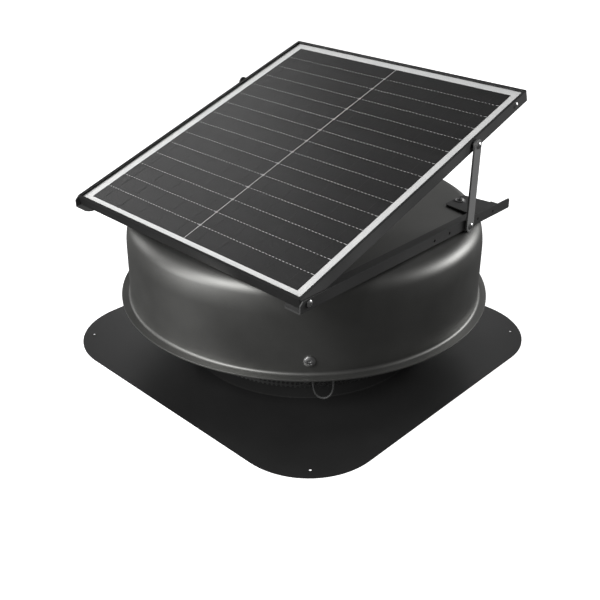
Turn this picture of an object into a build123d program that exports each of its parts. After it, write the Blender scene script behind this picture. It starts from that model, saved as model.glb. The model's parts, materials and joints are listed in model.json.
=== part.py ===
from build123d import *
import os
from math import asin, atan2, cos, degrees, pi, radians, sin, sqrt, tan

# Solar attic fan: a square roof flashing with a drawn collar, an axial fan hung from a
# plate above the collar, a round rain hood over it, and a solar panel that tilts on two
# rails across the hood. Millimetres, +Z up, the front (the panel's hinge edge) towards -Y,
# the origin at the centre of the flashing's underside.

os.makedirs("parts", exist_ok=True)

# ---- driving dimensions -------------------------------------------------------------
SHEET = 1.2                 # sheet steel of the flashing and the hood

BASE_SIDE = 580.0
BASE_CORNER_R = 112.8
BASE_HOLE_SPACING = 491.2
BASE_HOLE_R = 2.0

COLLAR_R = 186.0            # outside of the drawn collar
COLLAR_ROOT_R = 1.2         # radius of the drawn root
COLLAR_TOP = 48.0

MESH_IN = 186.2
MESH_T = 0.8
MESH_LOW, MESH_HIGH = 19.5, 137.7

HOOD_R = 276.5              # outside of the hood's wall at its foot
HOOD_SIDE_R = 110.0         # the wall's long inward curve
HOOD_SIDE_TURN = 14.0       # degrees that it turns through
HOOD_SHOULDER_R = 24.0
HOOD_TOP = 238.2            # top of the crown, at the axis
HOOD_CROWN_R = 6524.0       # very flat crown
LIP_R = 290.2
LIP_TOP, LIP_LOW = 102.0, 99.8
LIP_ROOT_R = 5.0            # radius between the wall and the lip
LIP_EDGE_R = 0.3
HEM_W = 5.0                 # width of the folded hem under the lip's edge

STRAP_W, STRAP_T = 30.0, 2.5
STRAP_LEG_OUT = 184.1       # outer face of a bracket's leg, inside the collar
STRAP_TAB_OUT = 274.8       # outer face of its tab, inside the hood
STRAP_LOW, STRAP_TOP = 18.0, 140.5
TAB_LOW = 108.0
DIAGONALS = (-45.0, 45.0, 135.0, 225.0)

PLATE_R, PLATE_T = 205.0, 1.5
PLATE_SCREW_R = 193.0

SCREW_HOOD_Z = 123.0

RAIL_IN, RAIL_OUT = 206.0, 237.9
RAIL_LOW, RAIL_TOP = 235.5, 252.0
RAIL_T = 2.0
RAIL_FRONT, RAIL_REAR = -258.0, 206.5
TAB_END_X = 160.0
FOOT_X, FOOT_Y = 169.5, 175.0

TILT = 18.65                # degrees
PANEL_W, PANEL_L = 469.8, 509.9
FRAME_CORNER_R = 3.0
PANEL_FRONT_Y, PANEL_FRONT_Z = -255.8, 254.0
FRAME_H = 16.5
FRAME_WALL, FRAME_LIP, FRAME_SHELF, FRAME_FLANGE = 1.6, 4.4, 10.0, 16.0
LIP_T = 1.2
GLASS_T, CELL_T, BACK_T = 3.2, 0.3, 1.1

HINGE_Y, HINGE_Z = -243.0, 246.0
PIVOT_Y, PIVOT_Z = 94.0, 241.8
STRUT_TOP_S, STRUT_TOP_D = 368.0, 7.5
SPARE_BOLT_S, SPARE_BOLT_D = 477.0, 7.0
STRUT_W, STRUT_T = 17.0, 3.0
STRUT_X = 239.4             # inner face of the right strut

CELL_ROWS, CELL_COLS = 15, 2
CELL_AREA_X = 432.0
CELL_AREA_S0, CELL_AREA_S1 = 14.6, 494.4
ROW_GAP, COL_GAP = 0.9, 1.8

STUD_R = 2.0                # rivet studs of the spacers and spare bolts in the frame

BLADES = 5
TIP_R = 175.5
SHAFT_R = 4.0
MOTOR_R = 50.0
MOTOR_LOW, MOTOR_HIGH = 100.0, STRAP_TOP

LEAD_D = 3.0

BOLT_R = 2.5
RUNNING = 0.06              # radial clearance of a pivot hole
SNUG = 0.02                 # radial clearance of a clamped bolt
RIVET_HOLE_R = 2.1          # also for M4 screws
MESH_SCREW_HOLE_R = 1.6
HOOD_HOLE_R = 3.05          # for M6 screws
FOOT_HOLE_R = 3.3
BORE_DEPTH = 4.0            # each way, through one or two sheets


# ---- helpers ------------------------------------------------------------------------
def write(piece, node):
    """Label a finished sub-part and write it to its own file."""
    piece.part.label = node
    export_step(piece.part, f"parts/{node}.step")


def radial_plane(azimuth, origin=(0, 0, 0)):
    """Plane through the axis at an azimuth: local x outwards, local y up."""
    a = radians(azimuth)
    return Plane(origin=origin, x_dir=(cos(a), sin(a), 0), z_dir=(sin(a), -cos(a), 0))


def outward_plane(azimuth, radius, z):
    """Plane facing straight out from the axis, for holes and fasteners in round walls."""
    a = radians(azimuth)
    return Plane(
        origin=(radius * cos(a), radius * sin(a), z),
        x_dir=(-sin(a), cos(a), 0),
        z_dir=(cos(a), sin(a), 0),
    )


def side_plane(x, y, z, side=1):
    """Plane facing out to the right (side 1) or to the left (side -1), local y up."""
    return Plane(origin=(side * x, y, z), x_dir=(0, side, 0), z_dir=(side, 0, 0))


def up_plane(x, y, z):
    return Plane(origin=(x, y, z), x_dir=(1, 0, 0), z_dir=(0, 0, 1))


def bore(plane, radius, depth):
    """Cut a hole centred on the plane's origin, depth mm to each side of it."""
    with BuildSketch(plane) as outline:
        Circle(radius)
    extrude(outline.sketch, amount=depth, both=True, mode=Mode.SUBTRACT)


def dome_head(plane, radius, height, dome=0.45):
    """Button head standing on the plane: a short wall under a domed top."""
    rise = height * dome
    wall = height - rise
    cap_r = (radius**2 + rise**2) / (2 * rise)
    mid_x = radius * 0.6
    mid_z = height - cap_r + sqrt(cap_r**2 - mid_x**2)
    section_plane = Plane(origin=plane.origin, x_dir=plane.x_dir, z_dir=plane.y_dir * -1)
    with BuildSketch(section_plane) as section:
        with BuildLine():
            Polyline((0, 0), (radius, 0), (radius, wall))
            ThreePointArc((radius, wall), (mid_x, mid_z), (0, height))
            Line((0, height), (0, 0))
        make_face()
    revolve(section.sketch, axis=Axis(plane.origin, plane.z_dir))


def rod(plane, radius, length, mode=Mode.ADD):
    """Round rod from the plane along its normal."""
    with BuildSketch(plane) as outline:
        Circle(radius)
    extrude(outline.sketch, amount=length, mode=mode)


def hex_nut(plane, across_flats, height, hole):
    """Hexagon nut from the plane along its normal."""
    with BuildSketch(plane) as outline:
        RegularPolygon(across_flats / 2, 6, major_radius=False)
        Circle(hole, mode=Mode.SUBTRACT)
    extrude(outline.sketch, amount=height)


def ring(plane, outer, inner, height):
    """Flat ring or tube standing on the plane."""
    with BuildSketch(plane) as outline:
        Circle(outer)
        Circle(inner, mode=Mode.SUBTRACT)
    extrude(outline.sketch, amount=height)


def crown_z(r):
    """Height of the hood's outer surface over its flat crown."""
    return HOOD_TOP - HOOD_CROWN_R + sqrt(HOOD_CROWN_R**2 - r**2)


panel_plane = Plane(
    origin=(0, PANEL_FRONT_Y, PANEL_FRONT_Z),
    x_dir=(1, 0, 0),
    z_dir=(0, -sin(radians(TILT)), cos(radians(TILT))),
)


def on_panel(x, s, d):
    """World point x across, s up the slope from the front edge, d below the frame's top."""
    return panel_plane.from_local_coords(Vector(x, s, -d))


strut_top = on_panel(0, STRUT_TOP_S, STRUT_TOP_D)
spare_bolt = on_panel(0, SPARE_BOLT_S, SPARE_BOLT_D)

RIVET_HEIGHTS = (29.0, 41.0)
MESH_SCREW_AZIMUTHS = [22.5 + 45 * i for i in range(8)]
MESH_SCREW_Z = 33.0
ROW_HOLES_Y = (12.0, 48.0, 120.0, 160.0)
ROW_HOLES_Z, ROW_HOLE_R = 244.0, 2.3

# ---- roof flashing with its drawn collar ----------------------------------------------
with BuildPart() as base_flashing:
    root_centre = (COLLAR_R + COLLAR_ROOT_R, SHEET + COLLAR_ROOT_R)
    with BuildSketch():
        RectangleRounded(BASE_SIDE, BASE_SIDE, BASE_CORNER_R)
        Circle(root_centre[0], mode=Mode.SUBTRACT)
        with GridLocations(BASE_HOLE_SPACING, BASE_HOLE_SPACING, 2, 2):
            Circle(BASE_HOLE_R, mode=Mode.SUBTRACT)
    extrude(amount=SHEET)
    with BuildSketch(Plane.XZ):
        with BuildLine():
            CenterArc(root_centre, COLLAR_ROOT_R, 180, 90)
            Polyline(
                (COLLAR_R, root_centre[1]),
                (COLLAR_R, COLLAR_TOP),
                (COLLAR_R - SHEET, COLLAR_TOP),
                (COLLAR_R - SHEET, root_centre[1]),
            )
            CenterArc(root_centre, COLLAR_ROOT_R + SHEET, 180, 90)
            Line((root_centre[0], 0), (root_centre[0], SHEET))
        make_face()
    revolve(axis=Axis.Z)
    for azimuth in DIAGONALS:
        for height in RIVET_HEIGHTS:
            bore(outward_plane(azimuth, COLLAR_R, height), RIVET_HOLE_R, BORE_DEPTH)
    for azimuth in MESH_SCREW_AZIMUTHS:
        bore(outward_plane(azimuth, COLLAR_R, MESH_SCREW_Z), MESH_SCREW_HOLE_R, BORE_DEPTH)
write(base_flashing, "base_flashing")

# ---- mesh guard round the collar --------------------------------------------------------
with BuildPart() as mesh_guard:
    ring(Plane.XY.offset(MESH_LOW), MESH_IN + MESH_T, MESH_IN, MESH_HIGH - MESH_LOW)
    for azimuth in DIAGONALS:
        for height in RIVET_HEIGHTS:
            bore(outward_plane(azimuth, MESH_IN, height), RIVET_HOLE_R, BORE_DEPTH)
    for azimuth in MESH_SCREW_AZIMUTHS:
        bore(outward_plane(azimuth, MESH_IN, MESH_SCREW_Z), MESH_SCREW_HOLE_R, BORE_DEPTH)
write(mesh_guard, "mesh_guard")

with BuildPart() as mesh_screws:
    for azimuth in MESH_SCREW_AZIMUTHS:
        shank = outward_plane(azimuth, COLLAR_R - 4.0, MESH_SCREW_Z)
        rod(shank, 1.55, MESH_IN + MESH_T - COLLAR_R + 4.1)
        dome_head(outward_plane(azimuth, MESH_IN + MESH_T + 0.1, MESH_SCREW_Z), 3.4, 2.0)
write(mesh_screws, "mesh_screws")

# ---- four brackets that carry the plate and the hood -------------------------------------
for number, azimuth in enumerate(DIAGONALS, start=1):
    with BuildPart() as hood_bracket:
        with BuildSketch(radial_plane(azimuth)):
            with BuildLine():
                Polyline(
                    (STRAP_LEG_OUT - STRAP_T, STRAP_LOW),
                    (STRAP_LEG_OUT, STRAP_LOW),
                    (STRAP_LEG_OUT, STRAP_TOP - STRAP_T),
                    (STRAP_TAB_OUT - STRAP_T, STRAP_TOP - STRAP_T),
                    (STRAP_TAB_OUT - STRAP_T, TAB_LOW),
                    (STRAP_TAB_OUT, TAB_LOW),
                    (STRAP_TAB_OUT, STRAP_TOP),
                    (STRAP_LEG_OUT - STRAP_T, STRAP_TOP),
                    close=True,
                )
            make_face()
        extrude(amount=STRAP_W / 2, both=True)
        along = Axis((0, 0, 0), radial_plane(azimuth).z_dir)
        bends = hood_bracket.edges().filter_by(along)
        outer = [e for e in bends if abs(e.center().Z - STRAP_TOP) < 0.01]
        inner = [e for e in bends if abs(e.center().Z - (STRAP_TOP - STRAP_T)) < 0.01]
        fillet(outer, 4.0)
        fillet(inner, 1.5)
        for height in RIVET_HEIGHTS:
            bore(outward_plane(azimuth, STRAP_LEG_OUT, height), RIVET_HOLE_R, BORE_DEPTH)
        bore(outward_plane(azimuth, STRAP_TAB_OUT, SCREW_HOOD_Z), HOOD_HOLE_R, BORE_DEPTH)
        screw = outward_plane(azimuth, PLATE_SCREW_R, STRAP_TOP).origin
        bore(up_plane(screw.X, screw.Y, STRAP_TOP), RIVET_HOLE_R, BORE_DEPTH)
    write(hood_bracket, f"hood_bracket_{number}")

with BuildPart() as collar_rivets:
    inner_face = STRAP_LEG_OUT - STRAP_T
    outer_face = MESH_IN + MESH_T + 0.1
    for azimuth in DIAGONALS:
        for height in RIVET_HEIGHTS:
            rod(outward_plane(azimuth, inner_face - 0.1, height), 2.05, outer_face - inner_face + 0.2)
            dome_head(outward_plane(azimuth, outer_face, height), 4.0, 1.6)
            rod(outward_plane(azimuth, inner_face - 1.2, height), 3.6, 1.2)
write(collar_rivets, "collar_rivets")

# ---- plate over the collar: closes the mesh and carries the motor --------------------------
MOTOR_SCREW_R = 38.0
CONTROLLER_R, CONTROLLER_U = 138.0, 30.0
CONTROLLER_L, CONTROLLER_W, CONTROLLER_H = 80.0, 60.0, 28.0
BRACKET_AZIMUTH = DIAGONALS[0]


def by_bracket(r, u, z):
    """World point by the front right bracket: r outwards, u to the right, z up."""
    a = radians(BRACKET_AZIMUTH)
    return Vector(r * cos(a) - u * sin(a), r * sin(a) + u * cos(a), z)


with BuildPart() as motor_plate:
    with BuildSketch(Plane.XY.offset(STRAP_TOP)):
        Circle(PLATE_R)
        with PolarLocations(PLATE_SCREW_R, 4, start_angle=45):
            Circle(RIVET_HOLE_R, mode=Mode.SUBTRACT)
        with PolarLocations(MOTOR_SCREW_R, 4):
            Circle(RIVET_HOLE_R, mode=Mode.SUBTRACT)
        with Locations((0, 75)):
            Circle(6.0, mode=Mode.SUBTRACT)
    extrude(amount=PLATE_T)
write(motor_plate, "motor_plate")

with BuildPart() as plate_screws:
    for azimuth in DIAGONALS:
        place = outward_plane(azimuth, PLATE_SCREW_R, 0).origin
        top = STRAP_TOP + PLATE_T
        dome_head(up_plane(place.X, place.Y, top), 4.2, 2.8)
        rod(up_plane(place.X, place.Y, STRAP_TOP - STRAP_T - 5), 2.05, STRAP_T + PLATE_T + 5.1)
        hex_nut(up_plane(place.X, place.Y, STRAP_TOP - STRAP_T - 3.2), 7.0, 3.2, 2.05)
    for i in range(4):
        a = pi / 2 * i
        x, y = MOTOR_SCREW_R * cos(a), MOTOR_SCREW_R * sin(a)
        dome_head(up_plane(x, y, STRAP_TOP + PLATE_T), 4.0, 2.6)
        rod(up_plane(x, y, MOTOR_HIGH - 3.0), 2.05, 3.0 + PLATE_T + 0.1)
write(plate_screws, "plate_screws")

# ---- motor ------------------------------------------------------------------------------
MOTOR_WALL, MOTOR_TOP_T = 2.5, 3.0
VENT_Z = 115.0
BEARING_R, BEARING_H = 11.0, 7.0
UPPER_BEARING_Z = 129.0
LOWER_BEARING_Z = 94.0
BOSS_R = 15.0
MAGNET_LOW, MAGNET_HIGH = 104.0, 126.0
MAGNET_R = 25.0
TOOTH_TIP_R = 27.0
YOKE_W = 5.0

with BuildPart() as motor_housing:
    ring(Plane.XY.offset(MOTOR_LOW), MOTOR_R, MOTOR_R - MOTOR_WALL, MOTOR_HIGH - MOTOR_LOW)
    with BuildSketch(Plane.XY.offset(MOTOR_HIGH)):
        Circle(MOTOR_R)
        with PolarLocations(MOTOR_SCREW_R, 4):
            Circle(RIVET_HOLE_R, mode=Mode.SUBTRACT)
    extrude(amount=-MOTOR_TOP_T)
    boss_h = MOTOR_HIGH - MOTOR_TOP_T - UPPER_BEARING_Z
    ring(Plane.XY.offset(UPPER_BEARING_Z), BOSS_R, BEARING_R, boss_h)
    for azimuth in range(0, 360, 30):
        bore(outward_plane(azimuth, MOTOR_R, VENT_Z), 3.0, MOTOR_WALL + 1)
write(motor_housing, "motor_housing")

with BuildPart() as motor_end_bell:
    with BuildSketch(Plane.XY.offset(LOWER_BEARING_Z - 2)):
        Circle(BOSS_R)
        Circle(SHAFT_R + 1.5, mode=Mode.SUBTRACT)
    extrude(amount=MOTOR_LOW - LOWER_BEARING_Z + 2)
    ring(Plane.XY.offset(MOTOR_LOW - 3), MOTOR_R, BOSS_R, 3.0)
    rod(Plane.XY.offset(LOWER_BEARING_Z), BEARING_R, MOTOR_LOW - LOWER_BEARING_Z, Mode.SUBTRACT)
    lower_rim = motor_end_bell.edges().filter_by(GeomType.CIRCLE).group_by(Axis.Z)[0]
    chamfer([e for e in lower_rim if e.radius > BOSS_R - 0.1], 0.8)
write(motor_end_bell, "motor_end_bell")

with BuildPart() as motor_bearings:
    ring(Plane.XY.offset(LOWER_BEARING_Z), BEARING_R, SHAFT_R + RUNNING, 6.0)
    ring(Plane.XY.offset(UPPER_BEARING_Z), BEARING_R, SHAFT_R + RUNNING, BEARING_H)
write(motor_bearings, "motor_bearings")

with BuildPart() as motor_stator:
    yoke_in = MOTOR_R - MOTOR_WALL - YOKE_W
    with BuildSketch(Plane.XY.offset(MAGNET_LOW)):
        Circle(MOTOR_R - MOTOR_WALL - 0.1)
        Circle(yoke_in, mode=Mode.SUBTRACT)
        with PolarLocations((yoke_in + 1 + TOOTH_TIP_R) / 2, 12):
            Rectangle(yoke_in + 1 - TOOTH_TIP_R, 5.0)
    extrude(amount=MAGNET_HIGH - MAGNET_LOW)
write(motor_stator, "motor_stator")

# ---- rotor: shaft, magnets, hub and blades --------------------------------------------------
SHAFT_LOW, SHAFT_L = 24.0, 112.0
HUB_R, HUB_L = 14.0, 34.0
HUB_DISC_R, HUB_DISC_LOW, HUB_DISC_T = 42.0, 32.0, 2.5
BLADE_RIVETS_AT = (26.0, 36.0)
BLADE_RIVET_HOLE_R = 2.05
BLADE_Z = HUB_DISC_LOW + HUB_DISC_T + 1.0
BLADE_T = 2.0
BLADE_ROOT_R = 44.0

with BuildPart() as motor_shaft:
    rod(Plane.XY.offset(SHAFT_LOW), SHAFT_R, SHAFT_L)
    chamfer(motor_shaft.edges().filter_by(GeomType.CIRCLE), 0.5)
write(motor_shaft, "motor_shaft")

with BuildPart() as rotor_magnets:
    ring(Plane.XY.offset(MAGNET_LOW), MAGNET_R, SHAFT_R, MAGNET_HIGH - MAGNET_LOW)
write(rotor_magnets, "rotor_magnets")

with BuildPart() as fan_hub:
    ring(Plane.XY.offset(SHAFT_LOW), HUB_R, SHAFT_R, HUB_L)
    with BuildSketch(Plane.XY.offset(HUB_DISC_LOW)):
        Circle(HUB_DISC_R)
        Circle(SHAFT_R, mode=Mode.SUBTRACT)
        for i in range(BLADES):
            a = 2 * pi / BLADES * i
            for r in BLADE_RIVETS_AT:
                with Locations((r * cos(a), r * sin(a))):
                    Circle(BLADE_RIVET_HOLE_R, mode=Mode.SUBTRACT)
    extrude(amount=HUB_DISC_T)
write(fan_hub, "fan_hub")


BLADE_SECTIONS = (              # radius, chord, pitch in degrees
    (BLADE_ROOT_R, 62.0, 34.0),
    (110.0, 96.0, 27.0),
    (TIP_R + 1.5, 118.0, 21.0),
)


def blade_section(azimuth, r, chord, pitch):
    """Cambered strip across the blade at radius r."""
    a, p = radians(azimuth), radians(pitch)
    plane = Plane(
        origin=(r * cos(a), r * sin(a), BLADE_Z),
        x_dir=(-sin(a) * cos(p), cos(a) * cos(p), sin(p)),
        z_dir=(cos(a), sin(a), 0),
    )
    camber = 0.07 * chord
    half, low, high = chord / 2, -BLADE_T / 2, BLADE_T / 2
    with BuildSketch(plane) as section:
        with BuildLine():
            ThreePointArc((-half, low), (0, low + camber), (half, low))
            Line((half, low), (half, high))
            ThreePointArc((half, high), (0, high + camber), (-half, high))
            Line((-half, high), (-half, low))
        make_face()
    return section.sketch


for number in range(1, BLADES + 1):
    azimuth = 360 / BLADES * (number - 1)
    with BuildPart() as fan_blade:
        loft([blade_section(azimuth, *section) for section in BLADE_SECTIONS])
        Cylinder(TIP_R, 240, mode=Mode.INTERSECT)
        with BuildSketch(Plane.XY.offset(BLADE_Z - BLADE_T / 2)):
            with Locations(Rotation(0, 0, azimuth)):
                with Locations((32.5, 0)):
                    Rectangle(27.0, 24.0)
                for r in BLADE_RIVETS_AT:
                    with Locations((r, 0)):
                        Circle(BLADE_RIVET_HOLE_R, mode=Mode.SUBTRACT)
        extrude(amount=BLADE_T)
    write(fan_blade, f"fan_blade_{number}")

with BuildPart() as blade_rivets:
    for i in range(BLADES):
        a = 2 * pi / BLADES * i
        for r in BLADE_RIVETS_AT:
            x, y = r * cos(a), r * sin(a)
            rod(up_plane(x, y, HUB_DISC_LOW), 2.0, HUB_DISC_T + BLADE_T)
            dome_head(up_plane(x, y, BLADE_Z + BLADE_T / 2), 3.6, 1.5)
            rod(up_plane(x, y, HUB_DISC_LOW - 1.2), 3.4, 1.2)
write(blade_rivets, "blade_rivets")

# ---- rain hood --------------------------------------------------------------------------
crown_centre = (0, HOOD_TOP - HOOD_CROWN_R)
side_turn = radians(HOOD_SIDE_TURN)
side_to_shoulder = HOOD_SIDE_R - HOOD_SHOULDER_R
shoulder_x = HOOD_R - HOOD_SIDE_R + side_to_shoulder * cos(side_turn)
shoulder_z = crown_centre[1] + sqrt((HOOD_CROWN_R - HOOD_SHOULDER_R) ** 2 - shoulder_x**2)
crown_angle = degrees(asin(shoulder_x / (HOOD_CROWN_R - HOOD_SHOULDER_R)))
side_centre = (HOOD_R - HOOD_SIDE_R, shoulder_z - side_to_shoulder * sin(side_turn))
lip_root = (HOOD_R + LIP_ROOT_R, LIP_TOP + LIP_ROOT_R)


def hood_surface(inset):
    """Half section of the hood's skin, moved in by inset: crown, shoulder, side, wall and lip."""
    shoulder_turn = 90 - crown_angle - HOOD_SIDE_TURN
    CenterArc(crown_centre, HOOD_CROWN_R - inset, 90 - crown_angle, crown_angle)
    CenterArc((shoulder_x, shoulder_z), HOOD_SHOULDER_R - inset, HOOD_SIDE_TURN, shoulder_turn)
    CenterArc(side_centre, HOOD_SIDE_R - inset, 0, HOOD_SIDE_TURN)
    Line((HOOD_R - inset, side_centre[1]), (HOOD_R - inset, lip_root[1]))
    CenterArc(lip_root, LIP_ROOT_R + inset, 180, 90)


GROMMET_Y, GROMMET_NECK_R = 150.0, 9.0
foot_r = sqrt(FOOT_X**2 + FOOT_Y**2)
with BuildPart() as hood_shell:
    with BuildSketch(Plane.XZ):
        with BuildLine():
            hood_surface(0)
            hood_surface(SHEET)
            Line((lip_root[0], LIP_TOP), (LIP_R - LIP_EDGE_R, LIP_TOP))
            CenterArc((LIP_R - LIP_EDGE_R, LIP_TOP - LIP_EDGE_R), LIP_EDGE_R, 0, 90)
            Polyline(
                (LIP_R, LIP_TOP - LIP_EDGE_R),
                (LIP_R, LIP_LOW),
                (LIP_R - HEM_W, LIP_LOW),
                (LIP_R - HEM_W, LIP_TOP - SHEET),
                (lip_root[0], LIP_TOP - SHEET),
            )
            Line((0, HOOD_TOP - SHEET), (0, HOOD_TOP))
        make_face()
    revolve(axis=Axis.Z)
    for azimuth in DIAGONALS:
        bore(outward_plane(azimuth, HOOD_R, SCREW_HOOD_Z), HOOD_HOLE_R, BORE_DEPTH)
    for sx in (-1, 1):
        for sy in (-1, 1):
            bore(up_plane(sx * FOOT_X, sy * FOOT_Y, crown_z(foot_r)), FOOT_HOLE_R, BORE_DEPTH)
    bore(up_plane(0, GROMMET_Y, crown_z(GROMMET_Y)), GROMMET_NECK_R, BORE_DEPTH)
write(hood_shell, "hood_shell")

with BuildPart() as hood_screws:
    for azimuth in DIAGONALS:
        dome_head(outward_plane(azimuth, HOOD_R + 0.05, SCREW_HOOD_Z), 8.0, 4.6, 0.7)
        rod(outward_plane(azimuth, STRAP_TAB_OUT - STRAP_T - 6.5, SCREW_HOOD_Z), 3.0, 10.9)
write(hood_screws, "hood_screws")

with BuildPart() as hood_nuts:
    for azimuth in DIAGONALS:
        face = STRAP_TAB_OUT - STRAP_T
        hex_nut(outward_plane(azimuth, face - 5.0, SCREW_HOOD_Z), 10.0, 5.0, 3.0)
write(hood_nuts, "hood_nuts")

with BuildPart() as lead_grommet:
    surface = crown_z(GROMMET_Y)
    bore_r, flange_r = 3.0, 12.0
    low = up_plane(0, GROMMET_Y, surface - SHEET - 0.3)
    ring(up_plane(0, GROMMET_Y, surface - SHEET - 2.3), flange_r, bore_r, 2.0)
    ring(low, GROMMET_NECK_R, bore_r, SHEET + 0.6)
    ring(up_plane(0, GROMMET_Y, surface + 0.3), flange_r, bore_r, 2.0)
write(lead_grommet, "lead_grommet")

# ---- rails across the hood ------------------------------------------------------------------
TAB_INNER_Y, TAB_OUTER_Y = 147.0, 198.0
TAB_SPREAD = 5.0
for side, node in ((-1, "rail_left"), (1, "rail_right")):
    with BuildPart() as rail:
        with BuildSketch(Plane.XY.offset(RAIL_LOW)):
            with BuildLine():
                Polyline(
                    (side * RAIL_OUT, RAIL_FRONT),
                    (side * RAIL_OUT, RAIL_REAR),
                    (side * RAIL_IN, RAIL_REAR),
                    (side * RAIL_IN, TAB_OUTER_Y + TAB_SPREAD),
                    (side * TAB_END_X, TAB_OUTER_Y),
                    (side * TAB_END_X, TAB_INNER_Y),
                    (side * RAIL_IN, TAB_INNER_Y - TAB_SPREAD),
                    (side * RAIL_IN, TAB_SPREAD - TAB_INNER_Y),
                    (side * TAB_END_X, -TAB_INNER_Y),
                    (side * TAB_END_X, -TAB_OUTER_Y),
                    (side * RAIL_IN, -TAB_OUTER_Y - TAB_SPREAD),
                    (side * RAIL_IN, RAIL_FRONT),
                    close=True,
                )
            flange = make_face()
            ends = [v for v in flange.vertices() if abs(abs(v.X) - TAB_END_X) < 0.1]
            fillet(ends, 6.0)
            for sy in (-1, 1):
                with Locations((side * FOOT_X, sy * FOOT_Y)):
                    Circle(FOOT_HOLE_R, mode=Mode.SUBTRACT)
        extrude(amount=RAIL_T)
        with BuildSketch(side_plane(RAIL_OUT, 0, 0, side)):
            with BuildLine():
                Polyline(
                    (side * RAIL_FRONT, RAIL_LOW),
                    (side * RAIL_FRONT, RAIL_TOP - 5),
                    (side * (RAIL_FRONT + 5), RAIL_TOP),
                    (side * (RAIL_REAR - 2), RAIL_TOP),
                    (side * RAIL_REAR, RAIL_TOP - 3),
                    (side * RAIL_REAR, RAIL_LOW),
                    close=True,
                )
            make_face()
        extrude(amount=-RAIL_T)
        long_edges = rail.edges().filter_by(Axis.Y)
        outer_bend = [
            e for e in long_edges
            if abs(abs(e.center().X) - RAIL_OUT) < 0.01 and abs(e.center().Z - RAIL_LOW) < 0.01
        ]
        fillet(outer_bend, 1.8)
        upright = rail.edges().filter_by(Axis.Z)
        front_corner = [
            e for e in upright
            if abs(abs(e.center().X) - RAIL_IN) < 0.01 and abs(e.center().Y - RAIL_FRONT) < 0.01
        ]
        fillet(front_corner, 9.0)
        for y in ROW_HOLES_Y:
            bore(side_plane(RAIL_OUT, y, ROW_HOLES_Z, side), ROW_HOLE_R, BORE_DEPTH)
        bore(side_plane(RAIL_OUT, HINGE_Y, HINGE_Z, side), BOLT_R + RUNNING, BORE_DEPTH)
        bore(side_plane(RAIL_OUT, PIVOT_Y, PIVOT_Z, side), BOLT_R + SNUG, BORE_DEPTH)
    write(rail, node)

PAD_LOW = 234.0
with BuildPart() as rail_pads:
    for sx in (-1, 1):
        for sy in (-1, 1):
            ring(up_plane(sx * FOOT_X, sy * FOOT_Y, PAD_LOW), 8.0, 3.2, RAIL_LOW - PAD_LOW)
write(rail_pads, "rail_pads")

WASHER_R, WASHER_T = 8.0, 1.2
with BuildPart() as rail_washers:
    for sx in (-1, 1):
        for sy in (-1, 1):
            ring(up_plane(sx * FOOT_X, sy * FOOT_Y, RAIL_LOW + RAIL_T), WASHER_R, 3.1, WASHER_T)
write(rail_washers, "rail_washers")

FOOT_NUT_TOP = 231.9
with BuildPart() as rail_bolts:
    for sx in (-1, 1):
        for sy in (-1, 1):
            x, y = sx * FOOT_X, sy * FOOT_Y
            head_low = RAIL_LOW + RAIL_T + WASHER_T
            dome_head(up_plane(x, y, head_low), 5.2, 3.2)
            rod(up_plane(x, y, FOOT_NUT_TOP - 6.5), 2.95, head_low - FOOT_NUT_TOP + 6.6)
write(rail_bolts, "rail_bolts")

with BuildPart() as rail_nuts:
    for sx in (-1, 1):
        for sy in (-1, 1):
            hex_nut(up_plane(sx * FOOT_X, sy * FOOT_Y, FOOT_NUT_TOP - 5.0), 10.0, 5.0, 2.95)
    for side in (-1, 1):
        nut_plane = side_plane(RAIL_OUT - RAIL_T - 4.0, PIVOT_Y, PIVOT_Z, side)
        hex_nut(nut_plane, 8.0, 4.0, BOLT_R)
write(rail_nuts, "rail_nuts")

# ---- strut pivots on the rails ----------------------------------------------------------------
with BuildPart() as pivot_bolts:
    for side in (-1, 1):
        outer = STRUT_X + STRUT_T + 0.2
        inner = RAIL_OUT - RAIL_T - 5.0
        dome_head(side_plane(outer, PIVOT_Y, PIVOT_Z, side), 5.0, 3.2)
        rod(side_plane(inner, PIVOT_Y, PIVOT_Z, side), BOLT_R, outer - inner + 0.1)
write(pivot_bolts, "pivot_bolts")

with BuildPart() as pivot_spacers:
    for side in (-1, 1):
        ring(side_plane(RAIL_OUT, PIVOT_Y, PIVOT_Z, side), 5.2, BOLT_R + SNUG, STRUT_X - RAIL_OUT - 0.2)
write(pivot_spacers, "pivot_spacers")

# ---- struts -----------------------------------------------------------------------------------
strut_vector = Vector(0, strut_top.Y - PIVOT_Y, strut_top.Z - PIVOT_Z)
strut_length = strut_vector.length
strut_lean = degrees(atan2(strut_vector.Z, strut_vector.Y))
for side, name in ((-1, "left"), (1, "right")):
    middle = Vector(
        side * STRUT_X, (PIVOT_Y + strut_top.Y) / 2, (PIVOT_Z + strut_top.Z) / 2
    )
    with BuildPart() as strut:
        strut_plane = Plane(
            origin=middle, x_dir=strut_vector.normalized(), z_dir=(side, 0, 0)
        )
        with BuildSketch(strut_plane):
            SlotCenterToCenter(strut_length, STRUT_W)
        extrude(amount=STRUT_T)
        bore(side_plane(STRUT_X, PIVOT_Y, PIVOT_Z, side), BOLT_R + RUNNING, 5)
        bore(side_plane(STRUT_X, strut_top.Y, strut_top.Z, side), BOLT_R + SNUG, 5)
        rims = [e for e in strut.edges() if abs(e.center().X - side * (STRUT_X + STRUT_T)) < 0.01]
        chamfer([e for e in rims if e.length > 20], 0.4)
    write(strut, f"strut_{name}")
    with BuildPart() as strut_bolt:
        outer = STRUT_X + STRUT_T + 0.05
        dome_head(side_plane(outer, strut_top.Y, strut_top.Z, side), 5.0, 3.2)
        rod(side_plane(STRUT_X, strut_top.Y, strut_top.Z, side), BOLT_R, STRUT_T + 0.1)
    write(strut_bolt, f"strut_bolt_{name}")

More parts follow.
